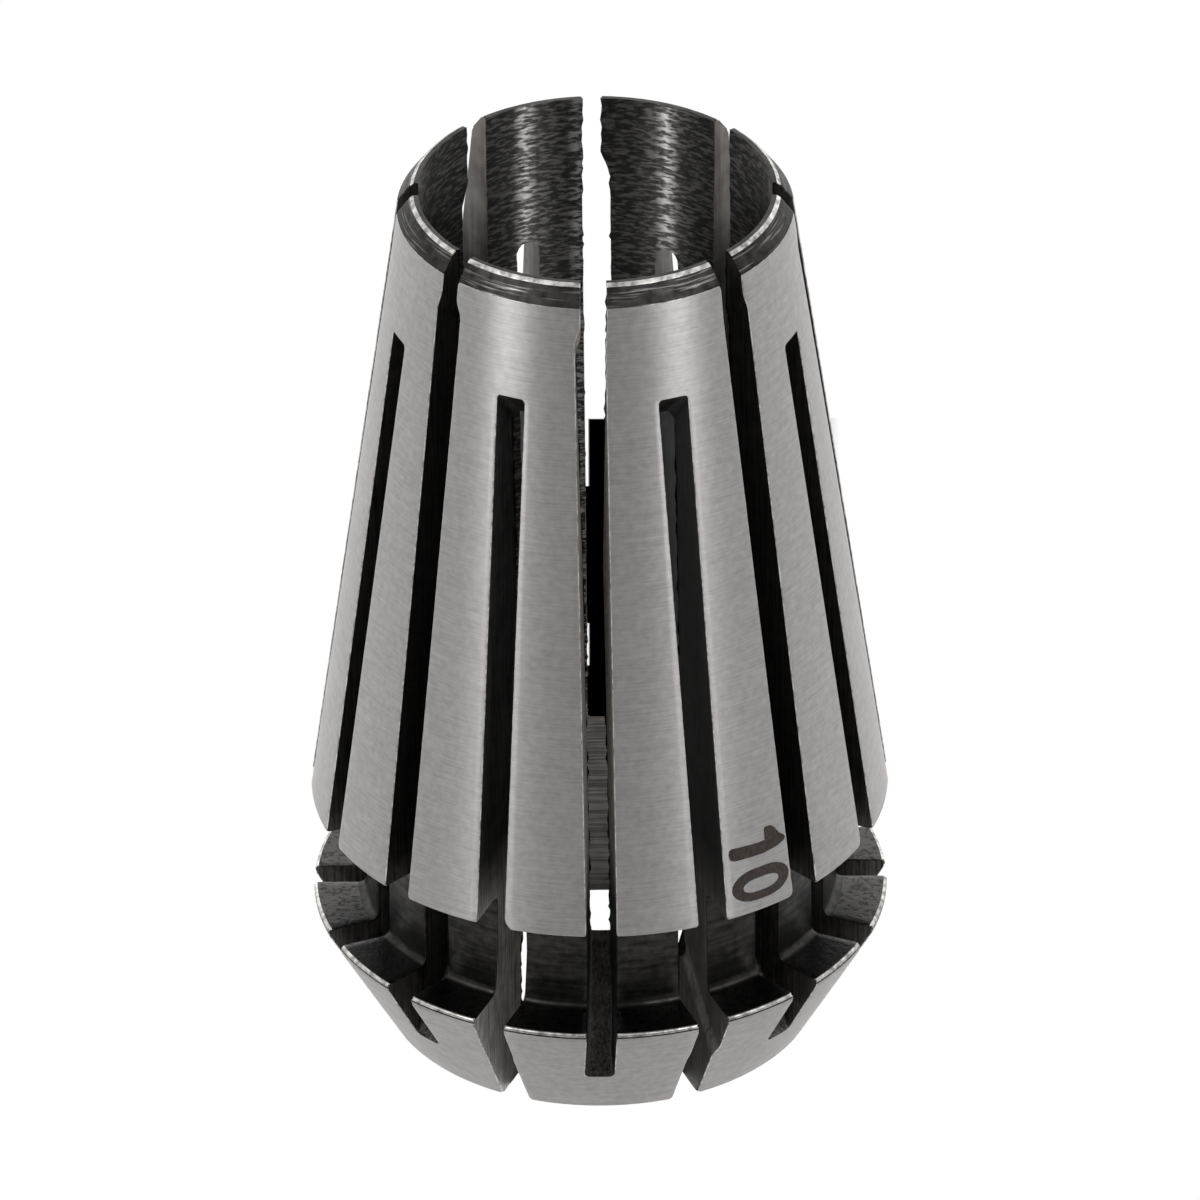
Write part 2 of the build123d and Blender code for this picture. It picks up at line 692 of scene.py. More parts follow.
    def drawn_back(self, slot: int, side: int) -> np.ndarray:
        """Draw a slot's edge back next to the rounded corners of its segment.

        Args:
            slot: The slot's number.
            side: 1 for the side at the greater angle, -1 for the other.

        Returns:
            For each row of the skin, how far the edge draws back.
        """
        back = np.zeros(self.row_count)
        for corner in self.corners():
            radius = corner.segment_rounding
            if corner.height == self.shoulder_height and radius > 0:
                radius = self.worn_corners.get((slot, side), radius)
            if radius > 0:
                apex = (corner.radius, corner.height)
                gap = np.clip(radius - np.linalg.norm(self.points - apex, axis=1), 0, radius)
                back = np.maximum(back, radius - np.sqrt(radius**2 - gap**2))
        return back

    def cut_edge(self, slot: int, side: int) -> list[list[int]]:
        """Add the broken edge along one side of a slot.

        Args:
            slot: The slot's number.
            side: 1 for the side at the greater angle, -1 for the other.

        Returns:
            For each row of the skin, the vertices from the skin to the slot's wall.
        """
        rows = self.slot_rows[slot % 2]
        back = self.drawn_back(slot, side)
        ragged = self.random.uniform(0, 1, self.row_count) ** 2
        cut = set(rows.order)
        columns: list[list[int]] = []
        for row, point in enumerate(self.points):
            if row not in cut:
                columns.append([self.add_across(slot, row, point, side)])
                continue
            edge = rows.edge_break[row]
            burred = self.row_finishes[row] in (Finish.BORE, Finish.RELIEF)
            column = []
            for step in range(self.strip_steps + 1):
                turn = math.pi / 2 * step / self.strip_steps
                if burred:
                    share = step / self.strip_steps
                    reach = self.burr_height * ragged[row] * edge / self.burr_depth
                    outward = -reach * (1 - share) ** 2
                    depth = edge * share
                else:
                    outward = edge * (1 - math.sin(turn)) + back[row]
                    depth = edge * (1 - math.cos(turn))
                inner = point + self.insets[row] * depth
                column.append(self.add_across(slot, row, inner, side, outward))
            columns.append(column)
        for first, last in zip(rows.order, rows.order[1:]):
            finish = self.row_finishes[first if rows.order[0] < rows.order[1] else last]
            finish = STRIP_FINISHES.get(finish, finish)
            self.add_strip(columns[first], columns[last], finish)
        return columns

    def rim_line(
        self, slot: int, arc: SawArc, ends: tuple[int, int], rows: tuple[int, int], across: float
    ) -> list[int]:
        """Add a line of vertices along one of the saw's arcs, between two that exist.

        Args:
            slot: The slot's number.
            arc: The saw's arc.
            ends: The two vertices that exist.
            rows: The rows of the skin that they lie on.
            across: -1 on the lower wall, 1 on the upper wall.

        Returns:
            The line's vertices, with its two ends.
        """
        points = []
        for vertex in ends:
            x, y, z = self.vertices[vertex]
            points.append(np.array([math.hypot(x, y), z]) / MM)
        narrowed = self.slot_rows[slot % 2].narrowed
        drawn_in = [self.drawn_in(slot, row, across) for row in rows]
        line = [ends[0]]
        for i, point in enumerate(arc.between(points[0], points[1], self.arc_pieces), start=1):
            share = i / self.arc_pieces
            drawn = drawn_in[0] * (1 - share) + drawn_in[1] * share
            offset = self.cuts[slot].offset(point[1], across, drawn, narrowed[rows[0]])
            line.append(self.add(slot, point, offset))
        return line + [ends[1]]

    def cut_wall(self, slot: int, side: int, columns: list[list[int]]) -> list[int]:
        """Add one wall of a slot, with the rounded corner at its floor.

        Args:
            slot: The slot's number.
            side: The wall's side.
            columns: The broken edge along that side.

        Returns:
            The line where the rounded corner meets the floor.
        """
        rows = self.slot_rows[slot % 2]
        kind = self.slot_kinds()[slot % 2]
        sawn = self.sawn_finishes.get(slot, Finish.SAWN)

        def ladder(arc: SawArc, rungs: dict[bool, list[int]]) -> list[list[int]]:
            """Draw the lines along an arc, one for each pair of rows that it joins."""
            return [
                self.rim_line(
                    slot, arc, (columns[outer][-1], columns[inner][-1]), (outer, inner), side
                )
                for outer, inner in zip(rungs[False], rungs[True])
            ]

        closed = ladder(kind.closed_arc, rows.closed)
        bridge = ladder(kind.bridge_arc, rows.bridge)
        for lines in (closed, bridge):
            for first, last in zip(lines, lines[1:]):
                self.add_strip(first, last, sawn)
        place = {row: i for i, row in enumerate(rows.order)}

        def rim_of(first: int, last: int) -> list[int]:
            """The wall's vertices along the skin between two rows."""
            return [columns[row][-1] for row in rows.order[place[first] : place[last] + 1]]

        outside = rim_of(rows.closed[False][-1], rows.bridge[False][0])
        inside = rim_of(rows.bridge[True][0], rows.closed[True][-1])
        self.add_face(outside + bridge[0][1:-1] + inside + closed[-1][1:-1][::-1], sawn)
        round_end = rim_of(rows.bridge[False][-1], rows.bridge[True][-1])
        self.add_face(round_end + bridge[-1][1:-1][::-1], sawn)
        return closed[0]

    def web_skin(self, slot: int, low: list[list[int]], high: list[list[int]]) -> dict[int, list[int]]:
        """Add the skin across the web that a slot leaves uncut.

        Args:
            slot: The slot's number.
            low: The columns on its lower side.
            high: The columns on its upper side.

        Returns:
            For each row of the web, its vertices across.
        """
        rows = self.slot_rows[slot % 2]
        first, last = rows.order[0], rows.order[-1]
        onward = -1 if rows.order[1] > rows.order[0] else 1
        across = {}
        row = first
        web_rows = [first]
        while row != last:
            row = (row + onward) % self.row_count
            web_rows.append(row)
        for row in web_rows:
            inner = [
                self.add_across(slot, row, self.points[row], share)
                for share in np.linspace(-1, 1, self.web_columns + 1)[1:-1]
            ]
            across[row] = [low[row][-1]] + inner + [high[row][-1]]
        for first_row, last_row in zip(web_rows, web_rows[1:]):
            finish = self.row_finishes[first_row if onward == 1 else last_row]
            self.add_strip(across[first_row], across[last_row], finish)
        return across

    def cut_floor(self, slot: int, low: list[int], high: list[int], across: dict[int, list[int]]) -> None:
        """Add the floor that the saw's rim leaves at a slot's closed end.

        Args:
            slot: The slot's number.
            low: The floor's line along the lower wall.
            high: The same along the upper wall.
            across: The web's rows, which the floor starts and ends on.
        """
        rows = self.slot_rows[slot % 2]
        arc = self.slot_kinds()[slot % 2].closed_arc
        outer, inner = across[rows.order[0]], across[rows.order[-1]]
        lines = [low]
        for i, share in enumerate(np.linspace(-1, 1, self.web_columns + 1)[1:-1], start=1):
            ends = (outer[i], inner[i])
            lines.append(self.rim_line(slot, arc, ends, (rows.order[0], rows.order[-1]), share))
        lines.append(high)
        for first, last in zip(lines, lines[1:]):
            self.add_strip(first, last, Finish.SAWN)

    def segment_skin(self, slot: int, low: list[list[int]], high: list[list[int]]) -> None:
        """Add the skin of the segment between a slot and the next.

        Args:
            slot: The slot at the segment's lower side.
            low: The columns of that slot's upper edge.
            high: The columns of the next slot's lower edge.
        """
        lines = []
        for row, point in enumerate(self.points):
            ends = []
            for column in (low[row], high[row]):
                x, y, _ = self.vertices[column[0]]
                ends.append(math.atan2(x, -y) % (2 * math.pi))
            if ends[1] < ends[0]:
                ends[1] += 2 * math.pi
            inner = []
            for share in np.arange(1, self.skin_columns) / self.skin_columns:
                turn = ends[0] * (1 - share) + ends[1] * share - slot * self.pitch
                inner.append(self.add(slot, point, point[0] * math.sin(turn)))
            lines.append([low[row][0]] + inner + [high[row][0]])
        for row in range(self.row_count):
            self.add_strip(lines[row], lines[(row + 1) % self.row_count], self.row_finishes[row])

    def build(self, materials: dict[Finish, bpy.types.Material]) -> bpy.types.Object:
        """Make the sleeve's mesh.

        Args:
            materials: The material of each finish.

        Returns:
            The sleeve, which rides on its body and stands for its node.
        """
        self.lay_rows()
        edges = [(self.cut_edge(slot, -1), self.cut_edge(slot, 1)) for slot in range(self.slot_count)]
        for slot, (low, high) in enumerate(edges):
            low_line = self.cut_wall(slot, -1, low)
            high_line = self.cut_wall(slot, 1, high)
            across = self.web_skin(slot, low, high)
            self.cut_floor(slot, low_line, high_line, across)
            self.segment_skin(slot, high, edges[(slot + 1) % self.slot_count][0])
        mesh = bpy.data.meshes.new("collet_sleeve")
        mesh.from_pydata(self.vertices, [], self.faces)
        for finish in Finish:
            mesh.materials.append(materials[finish])
        mesh.polygons.foreach_set("material_index", [finish.value for finish in self.face_finishes])
        seal(mesh)
        mesh.shade_smooth()
        mesh.set_sharp_from_angle(angle=self.sharp_angle)
        sleeve = bpy.data.objects.new("collet_sleeve", mesh)
        bpy.context.scene.collection.objects.link(sleeve)
        weighted = sleeve.modifiers.new("even shading", "WEIGHTED_NORMAL")
        weighted.keep_sharp = True
        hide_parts(NODE)
        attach(sleeve, "root")
        return sleeve


# --------------------------------------------------------------------------
# Finishes
# --------------------------------------------------------------------------


def linear(hex_colour: str) -> tuple[float, float, float, float]:
    """Turn an sRGB hex colour into linear values."""
    channels = [int(hex_colour[i : i + 2], 16) / 255 for i in (1, 3, 5)]
    return (*(c / 12.92 if c <= 0.04045 else ((c + 0.055) / 1.055) ** 2.4 for c in channels), 1.0)


def add_node(tree: Tree, kind: str, inputs: dict, **settings) -> bpy.types.Node:
    """Add a node with its settings and what feeds it.

    Args:
        tree: The tree that gets it.
        kind: The node's type.
        inputs: For each input, by name or number, a socket to link or a constant.
        **settings: The node's own settings.

    Returns:
        The node.
    """
    node = tree.nodes.new(kind)
    for name, value in settings.items():
        setattr(node, name, value)
    for key, value in inputs.items():
        if isinstance(value, Socket):
            tree.links.new(value, node.inputs[key])
        else:
            node.inputs[key].default_value = value
    return node


def sum_of(tree: Tree, operation: str, *values, clamp: bool = False) -> Socket:
    """Do one operation on numbers, each a socket or a constant."""
    inputs = dict(enumerate(values))
    return add_node(tree, "ShaderNodeMath", inputs, operation=operation, use_clamp=clamp).outputs[0]


def ramp(
    tree: Tree, value: Socket, start: float, end: float, low: float = 0.0, high: Socket | float = 1.0
) -> Socket:
    """Run from one level to another while a value runs from start to end.

    Args:
        tree: The tree that gets the node.
        value: What is mapped.
        start: The value that gives the low level.
        end: The value that gives the high level.
        low: The level at the start.
        high: The level at the end.

    Returns:
        The level.
    """
    inputs = {"Value": value, "From Min": start, "From Max": end, "To Min": low, "To Max": high}
    return add_node(tree, "ShaderNodeMapRange", inputs).outputs[0]


def blend(tree: Tree, share: Socket | float, low: Socket | float, high: Socket | float) -> Socket:
    """Mix two numbers, each a socket or a constant, by a share."""
    return add_node(tree, "ShaderNodeMix", {"Factor": share, 2: low, 3: high}).outputs[0]


def blend_colours(tree: Tree, share: Socket, low: Socket | str, high: Socket | str) -> Socket:
    """Mix two colours, each a socket or a hex colour, by a share.

    Args:
        tree: Node tree that the mix is added to.
        share: How much of the second colour shows, from 0 to 1.
        low: Colour where the share is 0.
        high: Colour where the share is 1.

    Returns:
        The mixed colour.
    """
    low, high = (linear(colour) if isinstance(colour, str) else colour for colour in (low, high))
    inputs = {"Factor": share, 6: low, 7: high}
    return add_node(tree, "ShaderNodeMix", inputs, data_type="RGBA").outputs[2]


class Lay(Enum):
    """Which way the marks of the work run."""

    AROUND = 0
    ALONG = 1
    EVERY_WAY = 2


@dataclass(frozen=True)
class WorkedSteel:
    """Steel with the marks that cutting, grinding or scale left on it.

    Colours are sRGB, sizes are millimetres.  The roughness is given where the marks are
    pale, then where they are dark.  ``contrast`` is how much of the noise's range is
    kept, less being harder edged.  Each of ``painted_highlight_lines`` is a band along the
    collet painted pale as a highlight: its place from side to side, its half width and the
    height where it starts.  ``low_colours`` take over below ``low_height``; on the slots'
    walls they carry painted light and painted shade.
    """

    name: str
    pale: str
    dark: str
    roughness: tuple[float, float]
    lay: Lay
    mark_width: float
    mark_length: float
    contrast: float = 0.3
    threshold: float = 0.5
    mottle_size: float = 0.5
    mottle_share: float = 0.3
    mottle_range: tuple[float, float] = (0.3, 0.7)
    mark_detail: float = 2.0
    mottle_detail: float = 3.0
    anisotropy: float = 0.0
    anisotropic_turn: float = 0.25
    relief: float = 0.0
    # Colour of the painted highlight bands, and the bands themselves.
    painted_highlight: str = ""
    painted_highlight_lines: tuple[tuple[float, float, float], ...] = ()
    low_colours: tuple[str, str] | None = None
    low_height: float = 8.0
    fade: float = 1.0
    metallic: float = 1.0

    def build(self) -> bpy.types.Material:
        """Make the material.

        Returns:
            The material, whose marks are fixed to the collet.
        """
        material = bpy.data.materials.new(self.name)
        material.use_nodes = True
        tree = material.node_tree
        shader = tree.nodes["Principled BSDF"]
        shader.inputs["Metallic"].default_value = self.metallic
        place = add_node(tree, "ShaderNodeTexCoord", {}).outputs["Object"]
        worn = self.worn_share(tree, place)
        tree.links.new(self.colour(tree, place, worn), shader.inputs["Base Color"])
        pale_roughness, dark_roughness = self.roughness
        roughness = ramp(tree, worn, 0.0, 1.0, dark_roughness, pale_roughness)
        tree.links.new(roughness, shader.inputs["Roughness"])
        if self.anisotropy:
            shader.inputs["Anisotropic"].default_value = self.anisotropy
            shader.inputs["Anisotropic Rotation"].default_value = self.anisotropic_turn
            tangent = add_node(tree, "ShaderNodeTangent", {}, direction_type="RADIAL", axis="Z")
            tree.links.new(tangent.outputs[0], shader.inputs["Tangent"])
        if self.relief:
            inputs = {"Height": worn, "Distance": self.relief * MM, "Strength": 1.0}
            bump = add_node(tree, "ShaderNodeBump", inputs)
            tree.links.new(bump.outputs[0], shader.inputs["Normal"])
        return material

    def worn_share(self, tree: Tree, place: Socket) -> Socket:
        """Make the pattern of the marks, clouded by a mottle.

        Args:
            tree: The material's tree.
            place: The place on the collet.

        Returns:
            1 where the marks are palest, 0 where they are darkest.
        """
        across, along = 1 / (self.mark_width * MM), 1 / (self.mark_length * MM)
        scale = {
            Lay.AROUND: (along, along, across),
            Lay.ALONG: (across, across, along),
            Lay.EVERY_WAY: (across, across, across),
        }[self.lay]
        stretched = add_node(tree, "ShaderNodeMapping", {"Vector": place, "Scale": scale}).outputs[0]
        inputs = {"Vector": stretched, "Scale": 1.0, "Detail": self.mark_detail}
        marks = add_node(tree, "ShaderNodeTexNoise", inputs).outputs[0]
        low, high = self.threshold - self.contrast / 2, self.threshold + self.contrast / 2
        mottle_scale = 1 / (self.mottle_size * MM)
        inputs = {"Vector": place, "Scale": mottle_scale, "Detail": self.mottle_detail}
        clouds = add_node(tree, "ShaderNodeTexNoise", inputs).outputs[0]
        cloudy = ramp(tree, clouds, *self.mottle_range)
        return blend(tree, self.mottle_share, ramp(tree, marks, low, high), cloudy)

    def colour(self, tree: Tree, place: Socket, worn: Socket) -> Socket:
        """Make the colour: the marks, the painted highlight bands, and the change low down.

        Args:
            tree: The material's tree.
            place: The place on the collet.
            worn: The pattern of the marks.

        Returns:
            The colour.
        """
        colour = blend_colours(tree, worn, self.dark, self.pale)
        parts = add_node(tree, "ShaderNodeSeparateXYZ", {"Vector": place}).outputs
        # Paint the highlight bands.
        for line, half_width, lowest in self.painted_highlight_lines:
            away = sum_of(tree, "ABSOLUTE", sum_of(tree, "SUBTRACT", parts["X"], line * MM))
            near = ramp(tree, away, half_width * MM, 0.0)
            start, end = (lowest - self.fade) * MM, (lowest + self.fade) * MM
            above = ramp(tree, parts["Z"], start, end, high=near)
            share = sum_of(tree, "MULTIPLY", above, worn, clamp=True)
            colour = blend_colours(tree, share, colour, self.painted_highlight)
        if self.low_colours:
            start, end = (self.low_height + self.fade) * MM, (self.low_height - self.fade) * MM
            below = ramp(tree, parts["Z"], start, end)
            pale, dark = self.low_colours
            colour = blend_colours(tree, below, colour, blend_colours(tree, worn, dark, pale))
        return colour


# Fine rings left by the wheel; their grain draws a soft bright streak down the taper.
GROUND_STEEL = WorkedSteel(
    "ground steel", "#adabaa", "#939190", (0.4, 0.44), Lay.AROUND, 0.05, 1.0,
    contrast=0.5, mottle_size=0.22, mottle_share=0.45, anisotropy=0.97, relief=0.0008,
)
# The groove: near black scale with a dull shine where it turns a corner.
BLACK_OXIDE = WorkedSteel(
    "black oxide steel", "#393836", "#151515", (0.3, 0.45), Lay.AROUND, 0.15, 1.2,
    mottle_size=0.25, mottle_share=0.5, relief=0.002,
)
# The top of the nose's flange: dark scale, pocked with black pits.
PITTED_OXIDE = WorkedSteel(
    "pitted oxide steel", "#434140", "#181818", (0.28, 0.36), Lay.EVERY_WAY, 0.14, 0.14,
    contrast=0.16, threshold=0.44, mottle_size=0.5, mottle_share=0.3, relief=0.004,
)
# The rear chamfer: black, with thin pale rings left by turning.
REAR_TURNED = WorkedSteel(
    "turned oxide steel", "#7a7875", "#1d1c1c", (0.35, 0.5), Lay.AROUND, 0.05, 1.4,
    contrast=0.2, threshold=0.66, mottle_size=0.3, mottle_share=0.15, relief=0.003,
)
# Thin bright lines along the edges that are handled most.
WORN_EDGE = WorkedSteel(
    "worn bright edge", "#d2d0cd", "#6c6a68", (0.3, 0.45), Lay.EVERY_WAY, 0.2, 0.2,
    mottle_share=0.3,
)
# The land deep in the bore, which the front slot shows as pale level rings; its near-white colour is
# painted light, paler than ground steel.
BORE_LAND = WorkedSteel(
    "ground bore steel", "#fffcf8", "#a8a39f", (0.4, 0.5), Lay.AROUND, 0.06, 2.0,
    contrast=0.2, anisotropy=0.7, relief=0.001,
)
# The wider bore: short dark dashes, and upright bands painted pale as highlights.
BORE_RELIEF = WorkedSteel(
    "turned bore oxide", "#757471", "#353434", (0.4, 0.44), Lay.AROUND, 0.09, 0.35,
    contrast=0.16, threshold=0.54, mottle_size=0.15, mottle_share=0.15, anisotropy=0.98,
    relief=0.004, painted_highlight="#d6d4d2",
    painted_highlight_lines=((-2.08, 0.34, 17.5), (2.03, 0.34, 17.5), (-0.55, 0.3, 3.0)),
)
# The slots' walls: black, with grey streaks toward the nose, painted paler there as the light that the
# groove lets onto them.
SAWN_OXIDE = WorkedSteel(
    "sawn oxide steel", "#454341", "#1c1b1b", (0.5, 0.62), Lay.ALONG, 0.07, 2.0,
    contrast=0.5, threshold=0.55, mottle_share=0.3, relief=0.003, low_colours=("#6f6c69", "#1a1919"),
)
# One slot's walls, painted pale toward the nose as the light that falls on them there: the palest of them.
SAWN_PAINTED_LIGHT = WorkedSteel(
    "sawn steel with painted light", "#5a5856", "#242323", (0.5, 0.7), Lay.ALONG, 0.06, 2.5,
    contrast=0.4, threshold=0.45, mottle_share=0.3, relief=0.003, low_colours=("#eae7e3", "#6c6a68"),
)
# The front slot's walls: an even grey grain, painted paler than the steel as light the wall hardly gets,
# that turns black toward the nose.
GREY_SAWN = WorkedSteel(
    "grey sawn steel", "#b5b0aa", "#6a6763", (0.5, 0.7), Lay.EVERY_WAY, 0.12, 0.12,
    metallic=0.0, contrast=0.4, mottle_share=0.3, relief=0.003, low_colours=("#1c1b1b", "#0f0f0f"),
)
# Walls seen across the bore: plain grey above as painted light, black below as painted shade.
INNER_SAWN = WorkedSteel(
    "sawn steel at the back", "#8d8985", "#605d5a", (0.5, 0.62), Lay.ALONG, 0.1, 3.0,
    contrast=0.6, mottle_share=0.4, relief=0.002, low_colours=("#1c1c1c", "#101010"), low_height=17.5,
)
# The same painted light, but with the plain sawn black from just below the rear end.
REAR_SAWN = replace(
    INNER_SAWN, name="sawn steel near the rear", low_colours=("#454341", "#1c1b1b"), low_height=23.3,
)
# The wall beside the size mark: near black, with faint streaks toward the nose.
STREAKED_SAWN = replace(
    SAWN_OXIDE, name="streaked sawn steel", pale="#262525", dark="#121212",
    low_colours=("#504e4b", "#141413"), metallic=0.0,
)
# The ragged edges of the slots inside the bore: a broken black outline.
BURRED_OXIDE = WorkedSteel(
    "burred oxide steel", "#2c2b2a", "#101010", (0.4, 0.6), Lay.EVERY_WAY, 0.1, 0.1,
)
# The size mark: flat brown-grey without any shine.
ETCHED = WorkedSteel(
    "laser etched steel", "#4d4743", "#3a3532", (0.5, 0.6), Lay.EVERY_WAY, 0.08, 0.08,
)


STEELS = {
    Finish.GROUND: GROUND_STEEL,
    Finish.OXIDE: BLACK_OXIDE,
    Finish.REAR: REAR_TURNED,
    Finish.EDGE: WORN_EDGE,
    Finish.BORE: BORE_LAND,
    Finish.RELIEF: BORE_RELIEF,
    Finish.SAWN: SAWN_OXIDE,
    Finish.SAWN_PAINTED_LIGHT: SAWN_PAINTED_LIGHT,
    Finish.FLANK: PITTED_OXIDE,
    Finish.BURR: BURRED_OXIDE,
    Finish.GREY_SAWN: GREY_SAWN,
    Finish.INNER_SAWN: INNER_SAWN,
    Finish.REAR_SAWN: REAR_SAWN,
    Finish.STREAKED_SAWN: STREAKED_SAWN,
}


# --------------------------------------------------------------------------
# Size mark
# --------------------------------------------------------------------------


@dataclass(frozen=True)
class SizeMark:
    """The nominal bore size, etched sideways on the taper.

    The figures are drawn on the taper laid flat: ``along`` is the distance round it
    from the front at the radius ``gauge``, and heights are heights above the nose.
    """

    gauge: float = 8.35
    proud: float = 0.005
    sunk: float = 0.03
    one_upper: tuple[tuple[float, float], ...] = (
        (4.024, 9.33), (4.049, 9.45), (4.13, 9.495), (5.076, 9.43), (5.29, 9.435), (5.3, 9.79),
        (5.35, 9.836), (5.544, 9.825), (5.663, 9.73), (5.847, 9.467), (5.986, 9.36), (6.044, 9.28),
    )
    one_lower: tuple[tuple[float, float], ...] = (
        (4.024, 9.31), (4.066, 9.151), (4.176, 9.087), (4.327, 9.074), (5.198, 9.04),
        (5.732, 9.098), (6.008, 9.195), (6.044, 9.26),
    )
    zero_outer: tuple[float, float, float, float] = (4.05, 6.05, 7.655, 8.66)
    zero_inner: tuple[float, float, float, float] = (4.43, 5.66, 7.92, 8.335)
    outer_corner: tuple[float, float] = (0.8, 0.5)
    inner_corner: tuple[float, float] = (0.45, 0.2)
    step: float = 0.1
    corner_pieces: int = 6
    side_pieces: int = 8

    def ring(self, box: tuple[float, float, float, float], corner: tuple[float, float]) -> list[np.ndarray]:
        """Points round a rectangle with round corners.

        Args:
            box: Least and greatest place along, least and greatest height.
            corner: Length and height of each round corner.

        Returns:
            The points, as many and in the same order for any rectangle.
        """
        left, right, low, high = box
        points = []
        centres = [(right, high, 0), (left, high, 1), (left, low, 2), (right, low, 3)]
        for x, z, quarter in centres:
            x += corner[0] if x == left else -corner[0]
            z += corner[1] if z == low else -corner[1]
            for i in range(self.corner_pieces + 1):
                turn = math.pi / 2 * (quarter + i / self.corner_pieces)
                points.append(np.array([x + corner[0] * math.cos(turn), z + corner[1] * math.sin(turn)]))
        filled = []
        for number, (first, last) in enumerate(zip(points, points[1:] + points[:1])):
            on_side = number % (self.corner_pieces + 1) == self.corner_pieces
            count = self.side_pieces if on_side else 1
            filled += [first * (1 - i / count) + last * (i / count) for i in range(count)]
        return filled

    def place(self, body: ColletBody, point: tuple[float, float], lift: float) -> tuple[float, ...]:
        """Wrap a drawn point on the taper, lifted off it.

        Args:
            body: Sleeve that carries the mark.
            point: Distance around the taper and height above the nose face.
            lift: Distance off the taper's surface.

        Returns:
            The point in metres.
        """
        turn = point[0] / self.gauge
        radius = body.taper_radius(point[1]) + lift
        return (radius * math.sin(turn) * MM, -radius * math.cos(turn) * MM, point[1] * MM)

    def figures(self) -> list[tuple[list, bool]]:
        """Draw the one and the zero.

        Returns:
            For each, pairs of points across its stroke, and whether it closes on itself.
        """
        upper, lower = np.array(self.one_upper), np.array(self.one_lower)
        regular = np.arange(upper[0, 0], upper[-1, 0], self.step)
        one = [
            [(along, float(np.interp(along, *side.T))) for side in (lower, upper)]
            for along in sorted({*regular, *upper[:, 0], *lower[:, 0]})
        ]
        outer = self.ring(self.zero_outer, self.outer_corner)
        inner = self.ring(self.zero_inner, self.inner_corner)
        return [(one, False), (list(zip(outer, inner)), True)]

    def build(self, body: ColletBody, material: bpy.types.Material) -> bpy.types.Object:
        """Make the figures as thin closed solids.

        Args:
            body: The sleeve that carries them.
            material: What they are etched in.

        Returns:
            The mark.
        """
        vertices: list[tuple[float, ...]] = []
        faces: list[list[int]] = []
        for figure, closed in self.figures():
            start, total = len(vertices), len(figure)
            for point in (point for pair in figure for point in pair):
                vertices.append(self.place(body, point, self.proud))
                vertices.append(self.place(body, point, -self.sunk))
            for i in range(total if closed else total - 1):
                a, b = start + 4 * i, start + 4 * ((i + 1) % total)
                faces.append([a, b, b + 2, a + 2])
                faces.append([a + 1, a + 3, b + 3, b + 1])
                faces.append([a, a + 1, b + 1, b])
                faces.append([a + 2, b + 2, b + 3, a + 3])
            if not closed:
                end = start + 4 * (total - 1)
                faces.append([start, start + 2, start + 3, start + 1])
                faces.append([end, end + 1, end + 3, end + 2])
        mesh = bpy.data.meshes.new("size_mark")
        mesh.from_pydata(vertices, [], faces)
        mesh.materials.append(material)
        seal(mesh)
        mark = bpy.data.objects.new("size_mark", mesh)
        bpy.context.scene.collection.objects.link(mark)
        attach(mark, "root")
        return mark


# --------------------------------------------------------------------------
# Studio
# --------------------------------------------------------------------------


@dataclass
class StudioCamera:
    """The camera: where it stands and what it looks at, in millimetres and degrees."""

    distance: float = 483.933
    elevation: float = 32.33
    azimuth: float = 0.662
    aim_height: float = 13.5
    aim_right: float = 0.049
    roll: float = -0.445
    focal_pixels: float = 16566.25
    frame_pixels: float = 1200.0
    sensor_width: float = 36.0
    nearest: float = 10.0

    def build(self) -> bpy.types.Object:
        """Make the camera and point it.

        Returns:
            The camera, which is the scene's own.
        """
        tilt, roll = math.radians(self.elevation), math.radians(self.roll)
        turn = Matrix.Rotation(math.radians(self.azimuth), 4, "Z")
        forward = Vector((0, math.cos(tilt), -math.sin(tilt)))
        right = Vector((1, 0, 0))
        up = right.cross(forward)
        place = Vector((self.aim_right, 0, self.aim_height)) - forward * self.distance
        rolled_right = right * math.cos(roll) + up * math.sin(roll)
        rolled_up = up * math.cos(roll) - right * math.sin(roll)
        matrix = Matrix([rolled_right, rolled_up, -forward]).transposed().to_4x4()
        matrix.translation = place * MM
        data = bpy.data.cameras.new("studio_camera")
        data.sensor_width = self.sensor_width
        data.lens = self.focal_pixels / self.frame_pixels * self.sensor_width
        data.clip_start = self.nearest * MM
        camera = bpy.data.objects.new("studio_camera", data)
        camera.matrix_world = turn @ matrix
        bpy.context.scene.collection.objects.link(camera)
        bpy.context.scene.camera = camera
        log.info("camera: %.0f mm away, %.1f degrees up", self.distance, self.elevation)
        return camera


@dataclass(frozen=True)
class Panel:
    """A soft light beside the collet, which only bright surfaces show."""

    name: str
    azimuth: float
    elevation: float
    distance: float
    width: float
    height: float
    power: float

    def build(self, aim: Vector) -> bpy.types.Object:
        """Make the panel and turn it to the collet.

        Args:
            aim: The point that it faces, in metres.

        Returns:
            The panel's lamp.
        """
        data = bpy.data.lights.new(self.name, "AREA")
        data.shape = "RECTANGLE"
        data.size, data.size_y = self.width * MM, self.height * MM
        data.energy = self.power
        lamp = bpy.data.objects.new(self.name, data)
        lamp.location = aim + direction(self.azimuth, self.elevation) * self.distance * MM
        lamp.rotation_euler = (aim - lamp.location).to_track_quat("-Z", "Y").to_euler()
        lamp.visible_diffuse = False
        lamp.visible_camera = False
        bpy.context.scene.collection.objects.link(lamp)
        log.info("%s: %.0f x %.0f mm", self.name, self.width, self.height)
        return lamp


def direction(azimuth: float, elevation: float) -> Vector:
    """Direction from the collet, by degrees round from its front and degrees up."""
    turn, rise = math.radians(azimuth), math.radians(elevation)
    return Vector((math.sin(turn) * math.cos(rise), -math.cos(turn) * math.cos(rise), math.sin(rise)))


